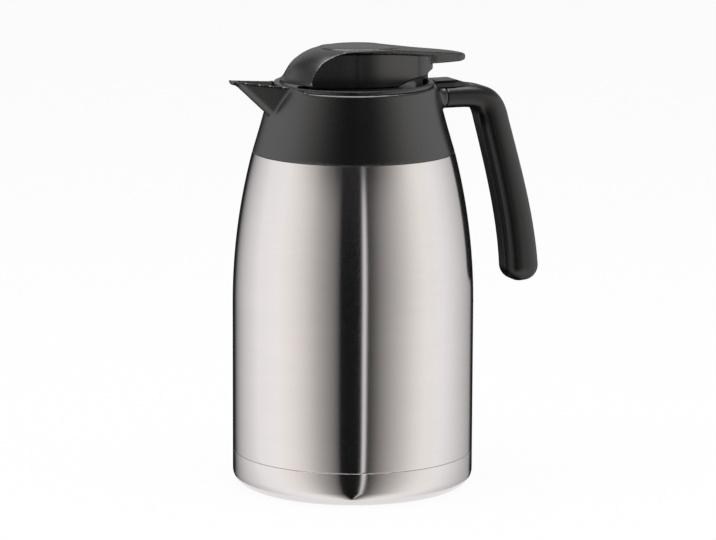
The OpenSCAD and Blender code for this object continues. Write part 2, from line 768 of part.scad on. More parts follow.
module hood() {
    intersection() {
        translate([0, 0, -crown_step])
            dome(0, hood_foot_z + crown_step);
        linear_extrude(2 * crown_z)
            hood_plan(cheek_mid_x);
        hood_side();
    }
}

// The cover from its top down: t moves the skin in, and an inner copy runs on below
module cover_block(t) {
    low = t > 0 ? lid_foot_z - 9 : lid_foot_z;
    front_x = cheek_front_x - 1;
    bottom = t > 0 ? [[cover_rear + 1, low], [front_x, low]]
        : [[cover_rear + 1, tail_edge_z], [hinge_x + 15, tail_edge_z], [hinge_x, low], [front_x, low]];
    intersection() {
        linear_extrude(2 * crown_z)
            offset(delta = -t)
                cover_plan();
        rotate([90, 0, 0])
            linear_extrude(4 * cheek_half_w, center = true)
                polygon(concat([[front_x, lid_top_z - t], [cheek_mid_x, lid_top_z - t],
                                [tail_x + 4, tail_top_z + 0.6 - t], [cover_rear + 1, tail_top_z - 2.2 - t]],
                               bottom));
        rotate([90, 0, 90])
            linear_extrude(4 * hood_r, center = true)
                polygon([[-cheek_half_w - 1 + t, low - 1], [cheek_half_w + 1 - t, low - 1],
                         [cheek_half_w + 1 - t, lid_top_z - 4 - t], [cheek_half_w - 0.6 - t, lid_top_z - 1 - t],
                         [cheek_half_w - 3 - t, lid_top_z - t], [3 - cheek_half_w + t, lid_top_z - t],
                         [0.6 - cheek_half_w + t, lid_top_z - 1 - t],
                         [-cheek_half_w - 1 + t, lid_top_z - 4 - t]]);
        union() {
            translate([0, 0, -crown_step])
                dome(t, low);
            translate([0, -2 * cheek_half_w, 0])
                cube([2 * hood_r, 4 * cheek_half_w, 2 * crown_z]);
        }
    }
}

module crown() {
    intersection() {
        dome(0, lid_top_z - 3);
        linear_extrude(2 * crown_z)
            intersection() {
                translate([crown_x, 0])
                    circle(crown_r);
                cover_plan();
            }
    }
}

module tongue() {
    root_x = 34;
    round_r = 6;
    intersection() {
        translate([0, 0, tongue_z - 2])
            linear_extrude(12)
                hull() {
                    translate([root_x, -tongue_root_half_w])
                        square([1, 2 * tongue_root_half_w]);
                    for (y = [-1, 1])
                        translate([tongue_reach - round_r, y * (tongue_tip_half_w - round_r)])
                            circle(round_r, $fn = 48);
                }
        rotate([90, 0, 0])
            linear_extrude(4 * tongue_root_half_w, center = true)
                polygon([[root_x, tongue_z - 0.4], [cover_rear, tongue_z], [tongue_reach - 7, tongue_z + 0.7],
                         [tongue_reach - 1, tongue_z + 1.9], [tongue_reach, tongue_z + 2.8],
                         [tongue_reach - 0.6, tongue_z + 4], [tongue_reach - 3, tongue_z + 4.7],
                         [cover_rear + 2, tongue_z + 6.2], [root_x, tongue_z + 7.7]]);
        rotate([90, 0, 90])
            linear_extrude(2 * tongue_reach)
                polygon([[-7.6, tongue_z - 1], [7.6, tongue_z - 1], [9.6, tongue_z + 0.8],
                         [10, tongue_z + 3], [9.6, tongue_z + 5.4], [7, tongue_z + 8.5],
                         [-7, tongue_z + 8.5], [-9.6, tongue_z + 5.4], [-10, tongue_z + 3],
                         [-9.6, tongue_z + 0.8]]);
    }
}

module lid_cover() {
    ear_top_z = lid_top_z - 1;
    color(satin_black)
        difference() {
            union() {
                difference() {
                    union() {
                        hood();
                        cover_block(0);
                        crown();
                        tongue();
                    }
                    cover_block(lid_wall);
                    intersection() {
                        dome(lid_wall + crown_step, hood_foot_z - 2);
                        linear_extrude(2 * crown_z)
                            offset(delta = -lid_wall)
                                hood_plan(hood_back_x);
                    }
                }
                for (y = [-1, 1])
                    translate([0, y * (lid_ear_y + lid_ear_t / 2), 0])
                        rotate([90, 0, 0])
                            linear_extrude(lid_ear_t, center = true) {
                                translate([hinge_x, hinge_z])
                                    circle(hinge_pin_r + 1);
                                translate([hinge_x - hinge_pin_r - 1, hinge_z])
                                    square([2 * hinge_pin_r + 2, ear_top_z - hinge_z]);
                            }
            }
            translate([hinge_x, 0, hinge_z])
                rotate([90, 0, 0])
                    cylinder(r = hinge_pin_r + running_gap, h = 2 * (lid_ear_y + lid_ear_t) + 0.6,
                             center = true, $fn = 48);
        }
}

// Two slotted ribs on a plate under the crown, which lift the stem's pin
module lid_fork() {
    rib_t = 2;
    rib_y = stem_r + rest_gap + 0.3;
    plate_t = 1.6;
    plate_z = lid_top_z - lid_wall - plate_t;
    slip = 1.5;
    gap = 0.35;
    color(satin_black)
        difference() {
            union() {
                translate([-8, -rib_y - rib_t, plate_z])
                    cube([15, 2 * (rib_y + rib_t), plate_t]);
                for (y = [-1, 1])
                    translate([0, y * (rib_y + rib_t / 2), 0])
                        rotate([90, 0, 0])
                            linear_extrude(rib_t, center = true)
                                polygon([[-6, stem_pin_z - 2.6], [4, stem_pin_z - 2.6], [5, plate_z + 0.5],
                                         [-7, plate_z + 0.5]]);
            }
            rotate([90, 0, 0])
                linear_extrude(stem_pin_l + 4, center = true)
                    hull() {
                        translate([0, stem_pin_z])
                            circle(stem_pin_r + gap, $fn = 32);
                        translate([-slip, stem_pin_z])
                            circle(stem_pin_r + gap, $fn = 32);
                    }
        }
}

outer_shell();
base_cup();
vessel_bottom();
vacuum_plug();
inner_flask();
flask_bottom();
radiation_foil();
getter();
collar();
neck_insert();
collar_seal();
handle();
handle_cap();
handle_screws();
stopper_seal();
stopper_body();
valve_seat();
hinge_pin();
valve_stem();
valve_seal();
valve_spring();
stem_pin();
lid_cover();
lid_fork();
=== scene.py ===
from math import cos, pi, radians, sin, sqrt

import bmesh
import bpy
import numpy as np
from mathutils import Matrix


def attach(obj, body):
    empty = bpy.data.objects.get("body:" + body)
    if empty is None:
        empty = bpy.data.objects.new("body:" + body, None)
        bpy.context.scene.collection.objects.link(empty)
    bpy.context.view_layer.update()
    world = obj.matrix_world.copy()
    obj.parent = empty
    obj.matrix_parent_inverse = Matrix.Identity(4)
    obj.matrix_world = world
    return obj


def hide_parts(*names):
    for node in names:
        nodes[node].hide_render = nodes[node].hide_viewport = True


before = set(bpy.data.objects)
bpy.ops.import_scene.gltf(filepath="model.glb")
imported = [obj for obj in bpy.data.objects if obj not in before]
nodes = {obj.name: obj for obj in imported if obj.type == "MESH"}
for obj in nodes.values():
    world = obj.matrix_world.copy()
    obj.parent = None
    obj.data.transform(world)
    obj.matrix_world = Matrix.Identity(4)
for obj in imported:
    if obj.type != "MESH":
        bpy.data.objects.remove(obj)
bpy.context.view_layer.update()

import openvdb
from mathutils import Matrix, Vector

scene = bpy.context.scene
MM = 0.001


# ------------------------------------------------------------- outer shell
# The visible wall: drawn stainless steel, straight up to 100 mm and then drawn
# in along one long arc to the collar. It is brushed round the body on a lathe.

class Value:
    """What a socket of a material gives. It works with + - * / and plain numbers."""

    def __init__(self, paint, socket):
        self.paint, self.socket = paint, socket

    def __add__(self, other): return self.paint.math("ADD", self, other)
    def __sub__(self, other): return self.paint.math("SUBTRACT", self, other)
    def __rsub__(self, other): return self.paint.math("SUBTRACT", other, self)
    def __mul__(self, other): return self.paint.math("MULTIPLY", self, other)
    def __truediv__(self, other): return self.paint.math("DIVIDE", self, other)
    def __rtruediv__(self, other): return self.paint.math("DIVIDE", other, self)
    __radd__, __rmul__ = __add__, __mul__


class Paint:
    """A new material or world. Every node is made by one method, which gives its outputs back as Values."""

    def __init__(self, name, library=bpy.data.materials):
        self.owner = library.new(name)
        self.owner.use_nodes = True
        self.tree = self.owner.node_tree
        self.tree.nodes.clear()

    def node(self, kind, settings=None, inputs=None):
        made = self.tree.nodes.new(kind)
        for key, value in (settings or {}).items():
            if key == "stops":
                ramp = made.color_ramp.elements
                while len(ramp) < len(value):
                    ramp.new(0.5)
                for stop, (place, shade) in zip(ramp, value):
                    colour = shade if isinstance(shade, tuple) else (shade,) * 3
                    stop.position, stop.color = place, (*colour, 1)
            else:
                setattr(made, key, value)
        for key, value in (inputs or {}).items():
            if isinstance(value, Value):
                self.tree.links.new(value.socket, made.inputs[key])
            else:
                made.inputs[key].default_value = value
        outputs = {out.name: Value(self, out) for out in made.outputs}
        return {**outputs, **{i: Value(self, out) for i, out in enumerate(made.outputs)}}

    def math(self, operation, *terms):
        return self.node("ShaderNodeMath", {"operation": operation}, dict(enumerate(terms)))[0]

    def place(self, scale=(1, 1, 1)):
        spot = self.node("ShaderNodeTexCoord")["Object"]
        return self.node("ShaderNodeMapping", None, {"Vector": spot, "Scale": scale})[0]

    def noise(self, where, scale, detail=2.0, roughness=0.5):
        return self.node("ShaderNodeTexNoise", None, {"Vector": where, "Scale": scale,
                                                      "Detail": detail, "Roughness": roughness})[0]

    def ramp(self, factor, *stops):
        return self.node("ShaderNodeValToRGB", {"stops": stops}, {"Fac": factor})[0]

    def mix(self, factor, first, second):
        return self.node("ShaderNodeMix", {"data_type": "RGBA"},
                         {0: factor, 6: (*first, 1) if isinstance(first, tuple) else first,
                          7: (*second, 1) if isinstance(second, tuple) else second})[2]

    def bump(self, height, strength, distance):
        return self.node("ShaderNodeBump", None, {"Height": height, "Strength": strength,
                                                  "Distance": distance * MM})["Normal"]

    def surface(self, **inputs):
        shader = self.node("ShaderNodeBsdfPrincipled", None,
                           {key.replace("_", " "): value for key, value in inputs.items()})[0]
        return self.output(shader)

    def output(self, shader, kind="ShaderNodeOutputMaterial"):
        self.node(kind, None, {0: shader})
        return self.owner


def brushed_steel():
    """Fine marks that run round the axis, on metal that is a little warm."""
    ring_scale, patch_scale = (60, 60, 9000), (12, 12, 70)
    darker, lighter = (0.735, 0.696, 0.692), (0.80, 0.759, 0.757)
    paint = Paint("brushed_steel")
    marks = paint.noise(paint.place(ring_scale), 1.0, detail=3, roughness=0.7)
    patches = paint.noise(paint.place(patch_scale), 1.0)
    grain = marks * 0.7 + patches * 0.3
    return paint.surface(
        Base_Color=paint.mix(paint.ramp(grain, (0.3, 0), (0.7, 1)), darker, lighter),
        Metallic=1.0, Roughness=0.13 + grain * 0.06, Anisotropic=0.9, Anisotropic_Rotation=0.25,
        Normal=paint.bump(marks, 0.10, 0.02))


steel = brushed_steel()


def turned(name, profile, material, steps, body="carafe"):
    """A solid of revolution from its closed profile of (radius, height) points in mm. Geometry Nodes make a
    grid with a column for each step round the axis, lay the profile on each column and swing it round."""
    line = bpy.data.meshes.new(name + "_profile")
    line.from_pydata([(r * MM, 0, z * MM) for r, z in profile + profile[:1]], [], [])
    host = bpy.data.objects.new(name + "_profile", line)
    scene.collection.objects.link(host)
    tree = bpy.data.node_groups.new(name + "_turning", "GeometryNodeTree")

    def socket(title, kind, way="INPUT"):
        return tree.interface.new_socket(title, in_out=way, socket_type=kind)

    socket("Profile", "NodeSocketGeometry")
    angular = socket("Steps round", "NodeSocketInt")
    along = socket("Profile points", "NodeSocketInt")
    finish = socket("Finish", "NodeSocketMaterial")
    socket("Solid", "NodeSocketGeometry", "OUTPUT")

    def add(kind, settings=None, *links, **values):
        made = tree.nodes.new(kind)
        for key, value in (settings or {}).items():
            setattr(made, key, value)
        for source, key in links:
            tree.links.new(source, made.inputs[key])
        for key, value in values.items():
            made.inputs[key].default_value = value
        return made

    enter = add("NodeGroupInput")
    profile_in, steps_in, points_in, finish_in = enter.outputs[:4]
    grid = add("GeometryNodeMeshGrid", None, (steps_in, "Vertices X"), (points_in, "Vertices Y"))
    index = add("GeometryNodeInputIndex").outputs[0]

    def math(operation, first, second):
        made = add("ShaderNodeMath", {"operation": operation})
        for value, place in ((first, made.inputs[0]), (second, made.inputs[1])):
            if isinstance(value, bpy.types.NodeSocket):
                tree.links.new(value, place)
            else:
                place.default_value = value
        return made.outputs[0]

    row = math("MODULO", index, points_in)
    column = math("FLOOR", math("DIVIDE", index, points_in), 0)
    spot = add("GeometryNodeInputPosition").outputs[0]
    sample = add("GeometryNodeSampleIndex", {"data_type": "FLOAT_VECTOR", "domain": "POINT"},
                 (profile_in, "Geometry"), (spot, "Value"), (row, "Index")).outputs[0]
    angle = math("MULTIPLY", math("DIVIDE", column, math("SUBTRACT", steps_in, 1)), 2 * pi)
    swung = add("ShaderNodeVectorRotate", {"rotation_type": "Z_AXIS"}, (sample, "Vector"),
                (angle, "Angle")).outputs[0]
    placed = add("GeometryNodeSetPosition", None, (grid.outputs[0], "Geometry"), (swung, "Position"))
    merged = add("GeometryNodeMergeByDistance", None, (placed.outputs[0], "Geometry"), Distance=1e-6)
    real = add("GeometryNodeRealizeInstances", None, (merged.outputs[0], "Geometry"))
    coated = add("GeometryNodeSetMaterial", None, (real.outputs[0], "Geometry"), (finish_in, "Material"))
    add("NodeGroupOutput", None, (coated.outputs[0], 0))
    modifier = host.modifiers.new("turning", "NODES")
    modifier.node_group = tree
    modifier[angular.identifier] = steps + 1
    modifier[along.identifier] = len(profile) + 1
    modifier[finish.identifier] = material
    return settle(name, host, material, body)


def settle(name, host, material, body):
    """Turns what a host's modifiers make into a plain mesh piece that rides on a body."""
    bpy.context.view_layer.update()
    graph = bpy.context.evaluated_depsgraph_get()
    mesh = bpy.data.meshes.new_from_object(host.evaluated_get(graph))
    mesh.name = name
    data = host.data
    bpy.data.objects.remove(host)
    if isinstance(data, bpy.types.Mesh):
        bpy.data.meshes.remove(data)
    return piece(name, mesh, material, body)


SHARP_EDGE = radians(35)


def piece(name, mesh, material, body):
    """A finished mesh as a piece: one material, faces outwards, smooth, riding on its body."""
    made = bmesh.new()
    made.from_mesh(mesh)
    bmesh.ops.remove_doubles(made, verts=made.verts, dist=1e-7)
    bmesh.ops.recalc_face_normals(made, faces=made.faces)
    if made.calc_volume(signed=True) < 0:
        bmesh.ops.reverse_faces(made, faces=made.faces)
    made.to_mesh(mesh)
    made.free()
    mesh.materials.clear()
    mesh.materials.append(material)
    mesh.shade_smooth()
    mesh.set_sharp_from_angle(angle=SHARP_EDGE)
    obj = bpy.data.objects.new(name, mesh)
    scene.collection.objects.link(obj)
    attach(obj, body)
    return obj


def arc(centre, rx, ry, start, end, count):
    """Points on an elliptical arc, with angles in degrees."""
    turns = [radians(start + (end - start) * i / count) for i in range(count + 1)]
    return [(centre[0] + rx * cos(a), centre[1] + ry * sin(a)) for a in turns]


BODY_R, STRAIGHT_H, SHOULDER_ARC = 66.0, 100.0, 330.0
SEAM_Z, LIP_Z, WELD_Z, SHEET_T, NECK_R = 184.0, 201.0, 19.0, 0.6, 30.8
SHOULDER_INSET, NECK_L, WELD_EDGE, WELD_GAP, ROUND_STEPS = 2.9, 3, 0.28, 0.04, 256


def wall_r(z):
    """Radius of the outer wall at a height."""
    rise = max(0, z - STRAIGHT_H)
    return BODY_R - SHOULDER_ARC + sqrt(SHOULDER_ARC ** 2 - rise ** 2)


side = [(wall_r(z), z) for z in np.linspace(WELD_Z + 1, SEAM_Z, 60)]
neck_r, neck_z = NECK_R + 2 * SHEET_T, LIP_Z - NECK_L
shoulder_w, shoulder_h = wall_r(SEAM_Z) - SHOULDER_INSET - neck_r, neck_z - SEAM_Z
weld_centre = (BODY_R - WELD_EDGE, WELD_Z + WELD_EDGE + WELD_GAP)
outside = arc(weld_centre, WELD_EDGE, WELD_EDGE, -90, 0, 5) + side
outside += arc((neck_r, SEAM_Z), shoulder_w, shoulder_h, 0, 90, 24) + [(neck_r, LIP_Z)]
inside = [(neck_r - SHEET_T, LIP_Z), (neck_r - SHEET_T, neck_z - SHEET_T)]
inside += arc((neck_r, SEAM_Z), shoulder_w - SHEET_T, shoulder_h - SHEET_T, 86, 0, 20)
inside += [(r - SHEET_T, z) for r, z in reversed(side)] + [(BODY_R - SHEET_T, WELD_Z + WELD_GAP)]
wall = turned("steel_wall", outside + inside, steel, ROUND_STEPS)
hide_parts("outer_shell")


# ---------------------------------------------------------------- base cup
# The bottom of the body, pressed from the same sheet with a foot ring, and
# laser-welded to the wall 19 mm up, where a fine bright line is left.

BASE_FILLET, FOOT_RING_W, PAD_R, GROOVE = 8.0, 6.0, 14.0, 1.5
ring_r = BODY_R - BASE_FILLET - FOOT_RING_W
fillet_centre = (BODY_R - BASE_FILLET, BASE_FILLET)
weld_centre = (BODY_R - WELD_EDGE, WELD_Z - WELD_EDGE - WELD_GAP)
under = [(0, 0), (PAD_R - 0.5, 0), (PAD_R + GROOVE, GROOVE), (ring_r - GROOVE, GROOVE), (ring_r + 0.5, 0)]
under += arc(fillet_centre, BASE_FILLET, BASE_FILLET, -90, 0, 16)
under += arc(weld_centre, WELD_EDGE, WELD_EDGE, 0, 90, 5)
over = [(BODY_R - SHEET_T, WELD_Z - WELD_GAP), (BODY_R - SHEET_T, BASE_FILLET)]
over += arc(fillet_centre, BASE_FILLET - SHEET_T, BASE_FILLET - SHEET_T, 0, -90, 12)[1:]
over += [(ring_r + 0.7, SHEET_T), (ring_r - GROOVE, GROOVE + SHEET_T), (PAD_R + GROOVE, GROOVE + SHEET_T),
         (PAD_R - 0.3, SHEET_T), (0, SHEET_T)]
cup = turned("base_pressing", under + over, steel, ROUND_STEPS)
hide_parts("base_cup")


# ------------------------------------------------- vessel bottom and its plug
# The hidden bottom of the vacuum vessel, with the port through which the air
# was drawn off, closed by a bead of braze.

def dull_steel():
    """Drawn sheet with a soft, cloudy sheen, as it comes from the polishing bath."""
    paint = Paint("inner_steel")
    cloud = paint.noise(paint.place((30, 30, 30)), 1.0, detail=4)
    drawn = paint.noise(paint.place((300, 300, 12)), 1.0)
    return paint.surface(
        Base_Color=paint.mix(cloud, (0.52, 0.52, 0.52), (0.68, 0.67, 0.66)),
        Metallic=1.0, Roughness=0.22 + cloud * 0.12 + drawn * 0.08, Normal=paint.bump(drawn, 0.2, 0.02))


def plain_metal(name, dark, light, roughness):
    """A small metal part: two close colours in fine grains."""
    paint = Paint(name)
    grain = paint.noise(paint.place((900, 900, 900)), 1.0)
    return paint.surface(Base_Color=paint.mix(grain, dark, light), Metallic=1.0,
                         Roughness=roughness + grain * 0.12, Normal=paint.bump(grain, 0.3, 0.02))


def finish(material, slot, *names):
    """Gives CAD nodes that keep their own mesh a finish."""
    for name in names:
        mesh = nodes[name].data
        mesh.materials.clear()
        mesh.materials.append(material)


inner_steel = dull_steel()
finish(inner_steel, "inner_steel", "vessel_bottom")
braze = plain_metal("braze", (0.50, 0.43, 0.28), (0.72, 0.64, 0.46), 0.35)
finish(braze, "braze", "vacuum_plug")


# --------------------------------------- inner flask, foil and getter
# The flask that holds the drink is welded from a drawn wall and a bottom. A
# copper foil round it throws the heat back, and a getter pill keeps the vacuum.

finish(inner_steel, "inner_steel", "inner_flask", "flask_bottom")
copper_foil = plain_metal("copper_foil", (0.62, 0.34, 0.22), (0.86, 0.52, 0.36), 0.2)
finish(copper_foil, "copper_foil", "radiation_foil")
getter_metal = plain_metal("getter_metal", (0.10, 0.10, 0.11), (0.26, 0.26, 0.27), 0.6)
finish(getter_metal, "getter_metal", "getter")


# ------------------------------------------------------------------ collar
# The pouring ring: one injection moulding in satin black polypropylene, with
# the beak drawn out of it in front and a boss for the handle behind.

def satin_plastic(name, gloss):
    """Black polypropylene with the fine grain of an eroded mould."""
    grain_scale, sheen_scale = (2600, 2600, 2600), (25, 25, 25)
    darker, lighter = (0.0024, 0.0024, 0.0026), (0.0040, 0.0038, 0.0040)
    paint = Paint(name)
    grain = paint.noise(paint.place(grain_scale), 1.0, detail=2)
    sheen = paint.noise(paint.place(sheen_scale), 1.0, detail=3)
    return paint.surface(
        Base_Color=paint.mix(sheen, darker, lighter),
        Roughness=0.22 + sheen * 0.05 + grain * 0.04, Specular_IOR_Level=gloss,
        Normal=paint.bump(grain, 0.15, 0.03))


plastic = satin_plastic("black_plastic", 1.0)


def outline(points, u, v):
    """Distance in mm from the places (u, v) to a closed outline, negative inside it."""
    nearest, inside = np.inf, False
    for (a, b), (c, d) in zip(points, points[1:] + points[:1]):
        along = ((u - a) * (c - a) + (v - b) * (d - b)) / max((c - a) ** 2 + (d - b) ** 2, 1e-9)
        along = np.clip(along, 0, 1)
        nearest = np.minimum(nearest, np.hypot(u - a - along * (c - a), v - b - along * (d - b)))
        inside = inside ^ (((b > v) != (d > v)) & (u < (c - a) * (v - b) / ((d - b) or 1) + a))
    return np.where(inside, -nearest, nearest).astype(np.float32)


def meet(a, b, r=0.0):
    """What lies in both solids, with the edge between them rounded by r."""
    return np.minimum(-r, np.maximum(a, b)) + np.hypot(np.maximum(a + r, 0), np.maximum(b + r, 0))


def join(a, b, r=0.0):
    """Both solids together, with a fillet of radius r in the corner between them."""
    return np.maximum(r, np.minimum(a, b)) - np.hypot(np.maximum(r - a, 0), np.maximum(r - b, 0))


def without(a, b, r=0.0):
    """The first solid less the second, with the edge rounded by r."""
    return meet(a, -b, r)


def bar(across, up, half_w, half_h, corner):
    """A long bar seen from its end, with its four edges rounded to a corner radius."""
    u, v = np.abs(across) - (half_w - corner), np.abs(up) - (half_h - corner)
    return np.hypot(np.maximum(u, 0), np.maximum(v, 0)) + np.minimum(np.maximum(u, v), 0) - corner


class Block:
    """A block of space in mm, on a grid. A solid in it is the distance of each grid point from its skin."""

    def __init__(self, low, high, step):
        self.low, self.step = low, step
        x, y, z = (np.arange(a, b + step, step, dtype=np.float32) for a, b in zip(low, high))
        self.x, self.y, self.z = x[:, None, None], y[None, :, None], z[None, None, :]

    def plan(self, points): return outline(points, self.x, self.y)
    def side(self, points): return outline(points, self.x, self.z)

    def turned(self, points):
        r = np.hypot(self.x, self.y)
        radii = np.arange(0, r.max() + 2 * self.step, self.step, dtype=np.float32)
        table = outline(points, radii[:, None], self.z[0])
        row = r[:, :, 0] / self.step
        low = row.astype(int)
        share = (row - low)[:, :, None]
        return table[low] * (1 - share) + table[low + 1] * share

    def skin(self, name, solid, material, body):
        shape = np.broadcast_shapes(self.x.shape, self.y.shape, self.z.shape)
        far = 4 * self.step
        grid = openvdb.FloatGrid(far)
        grid.copyFromArray(np.ascontiguousarray(np.broadcast_to(solid, shape), dtype=np.float32))
        grid.transform = openvdb.createLinearTransform(voxelSize=self.step)
        points, triangles, quads = grid.convertToPolygons(isovalue=0.0)
        mesh = bpy.data.meshes.new(name)
        faces = [tuple(f) for f in triangles.tolist()] + [tuple(f) for f in quads.tolist()]
        mesh.from_pydata(((points + np.array(self.low)) * MM).tolist(), [], faces)
        return piece(name, mesh, material, body)


COLLAR_H, RIM_R, COLLAR_WALL, COLLAR_BULGE = 36.3, 45.1, 2.4, -0.3
BASIN_DEPTH, BASIN_FLOOR, BASIN_MARGIN, FLANGE_SEAT_R, THROAT_R = 13.2, 2.4, 2.9, 44.1, 30.3
RIM_Z = SEAM_Z + COLLAR_H
BASIN_Z = RIM_Z - BASIN_DEPTH
BEAK_REACH, BEAK_WALL, BEAK_OPEN, KEEL_R, KEEL_SLOPE = 71.2, 1.8, radians(33), 6.8, 0.93
BEAK_LIP_RISE, BEAK_ROOT_RISE, BEAK_ROOT_X, LIP_T, LIP_L = 5.4, 2.5, -34, 2.2, 2.57
ROOT_STEP_L, RISE_HALF_W, RISE_FADE, LIP_BEND = 9, 30, 8, 1.5
ARM_Z, ARM_HALF_H, GRIP_HALF_W, BOSS_X, BOSS_CORNER = RIM_Z - 8.2, 6.3, 11.6, 51.0, 6.1
FINE = 0.67
PAST_AXIS = -9
RIM_ROUND, INNER_ROUND, SEAT_ROUND, BOSS_FILLET, BEAK_ROUND, FOOT_ROUND = 0.8, 0.5, 0.3, 3.0, 0.6, 0.4


def collar_r(z):
    """Outer radius of the collar's cone at a height."""
    share = (z - SEAM_Z) / COLLAR_H
    return wall_r(SEAM_Z) + (RIM_R - wall_r(SEAM_Z)) * share + COLLAR_BULGE * 4 * share * (1 - share)


def cone_side(low, high, count, inset):
    """Points up the collar's cone, moved in by inset."""
    heights = [low + (high - low) * i / count for i in range(count + 1)]
    return [(collar_r(h) - inset, h) for h in heights]


def beak(space, back):
    """Distance from the beak's body: a round keel that rises to a short flat lip, and two sides that open
    upwards. The skin is moved in by back."""
    wide = np.abs(space.y)

    def trough(slope):
        keel = RIM_Z + BEAK_LIP_RISE - LIP_T - slope * (BEAK_REACH - LIP_L + space.x)
        above = (space.z - keel) / sqrt(1 + slope ** 2) - KEEL_R
        facing = wide * cos(BEAK_OPEN) - above * sin(BEAK_OPEN)
        along = wide * sin(BEAK_OPEN) + above * cos(BEAK_OPEN)
        return np.where(along < 0, np.hypot(wide, above), facing) - KEEL_R + back

    return join(trough(KEEL_SLOPE), trough(0), LIP_BEND)


def rim_rise(x, y):
    """How far the rim rises towards the beak: one soft step at its root, and then a straight slope."""
    step = np.clip((BEAK_ROOT_X - x) / ROOT_STEP_L, 0, 1)
    rise = BEAK_ROOT_RISE * step * step * (3 - 2 * step)
    slope = (BEAK_LIP_RISE - BEAK_ROOT_RISE) / (BEAK_REACH - RIM_R)
    return (rise + slope * np.maximum(0, -x - RIM_R)) * np.clip((RISE_HALF_W - np.abs(y)) / RISE_FADE, 0, 1)


def collar():
    space = Block((-76, -60, SEAM_Z - 2), (60, 60, RIM_Z + 9), FINE)
    x, y, z = space.x, space.y, space.z
    top_z, open_z = RIM_Z + BEAK_LIP_RISE + 4, RIM_Z + BEAK_LIP_RISE + 13

    cone = space.turned([(PAST_AXIS, SEAM_Z)] + cone_side(SEAM_Z, RIM_Z, 8, 0)
                        + [(RIM_R - 1.0, top_z), (PAST_AXIS, top_z)])
    prow = meet(meet(beak(space, 0), -BEAK_REACH - x, BEAK_ROUND), x + 20)
    boss = bar(y, z - ARM_Z, GRIP_HALF_W, ARM_HALF_H, BOSS_CORNER)
    boss = meet(meet(boss, x - BOSS_X, 0.1), 10 - x)
    outer = join(join(cone, prow, 0.5), boss, BOSS_FILLET)
    solid = meet(outer, z - RIM_Z - rim_rise(x, y), RIM_ROUND)

    basin_r = RIM_R - BASIN_MARGIN
    basin = space.turned([(PAST_AXIS, BASIN_Z), (basin_r - 3, BASIN_Z), (basin_r - 1, BASIN_Z + 0.9),
                          (basin_r, BASIN_Z + 3), (basin_r, open_z), (PAST_AXIS, open_z)])
    channel = meet(meet(beak(space, BEAK_WALL), BASIN_Z + 0.5 - z), x + 28)
    solid = without(solid, join(basin, channel, LIP_BEND), INNER_ROUND)
    flange_seat = space.turned([(PAST_AXIS, RIM_Z), (FLANGE_SEAT_R, RIM_Z), (FLANGE_SEAT_R, open_z),
                                (PAST_AXIS, open_z)])
    solid = without(solid, flange_seat, SEAT_ROUND)

    under_z, below_z = BASIN_Z - BASIN_FLOOR, SEAM_Z - 9
    cavity = space.turned([(PAST_AXIS, below_z), (collar_r(SEAM_Z) - COLLAR_WALL, below_z)]
                          + cone_side(SEAM_Z, under_z, 4, COLLAR_WALL) + [(PAST_AXIS, under_z)])
    solid = without(solid, cavity, FOOT_ROUND)
    throat = meet(np.hypot(x, y) - THROAT_R, np.abs(z - BASIN_Z) - 9)
    solid = without(solid, throat, SEAT_ROUND)
    return space.skin("pouring_collar", solid, plastic, "carafe")


collar_piece = collar()
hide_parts("collar")


# ------------------------------------------------ neck insert and its seal
# A threaded ring of the same plastic that clamps the collar to the steel lip,
# over a ring of silicone cut from moulded tube.

def silicone(name, dark, light):
    paint = Paint(name)
    cloud = paint.noise(paint.place((120, 120, 120)), 1.0, detail=3)
    return paint.surface(Base_Color=paint.mix(cloud, dark, light), Roughness=0.5 + cloud * 0.1,
                         Specular_IOR_Level=0.4, Normal=paint.bump(cloud, 0.2, 0.02))


seal_grey = silicone("silicone", (0.42, 0.42, 0.40), (0.50, 0.50, 0.48))
finish(plastic, "black_plastic", "neck_insert")
finish(seal_grey, "silicone", "collar_seal")


# ------------------------------------------------------------------ handle
# An open grip in the same satin black, moulded hollow by gas injection, plugged
# into the collar's boss. It leaves the arm in one bend and ends free.

def curve(p0, p1, p2, p3, count):
    """Points on a cubic curve from p0 to p3."""
    t = np.linspace(0, 1, count + 1)[:, None]
    p0, p1, p2, p3 = (np.array(p, float) for p in (p0, p1, p2, p3))
    return p0 * (1 - t) ** 3 + p1 * 3 * t * (1 - t) ** 2 + p2 * 3 * t * t * (1 - t) + p3 * t ** 3


GRIP_TOP_T, GRIP_END_T, GRIP_CORNER, GRIP_TAIL = 8.3, 9.7, 8.6, 9.0
BEND_REACH, BEND_DROP, BEND_SWELL, GRIP_LEAN, GRIP_L, ARM_RUN = 81.6, 14.6, 0.5, 17.6, 82.0, 9.0
SOCKET_L, TENON_L, TENON_HALF_W, TENON_HALF_H = 6, 4, 9, 3.7


def grip_line():
    """The grip's centre line from the boss to its free end, in x and z: arm, bend and leaning grip."""
    bend_z = ARM_Z - BEND_DROP
    bend = curve((BOSS_X + ARM_RUN, ARM_Z), (BOSS_X + ARM_RUN + 15, ARM_Z), (BEND_REACH - 2.8, ARM_Z - 3),
                 (BEND_REACH, bend_z), 24)
    lean = curve((BEND_REACH, bend_z), (BEND_REACH + 0.43 * GRIP_LEAN, bend_z - GRIP_L / 3),
                 (BEND_REACH + 0.88 * GRIP_LEAN, bend_z - GRIP_L * 2 / 3),
                 (BEND_REACH + GRIP_LEAN, bend_z - GRIP_L), 24)
    return np.vstack([[(BOSS_X - 8, ARM_Z)], bend, lean[1:]])


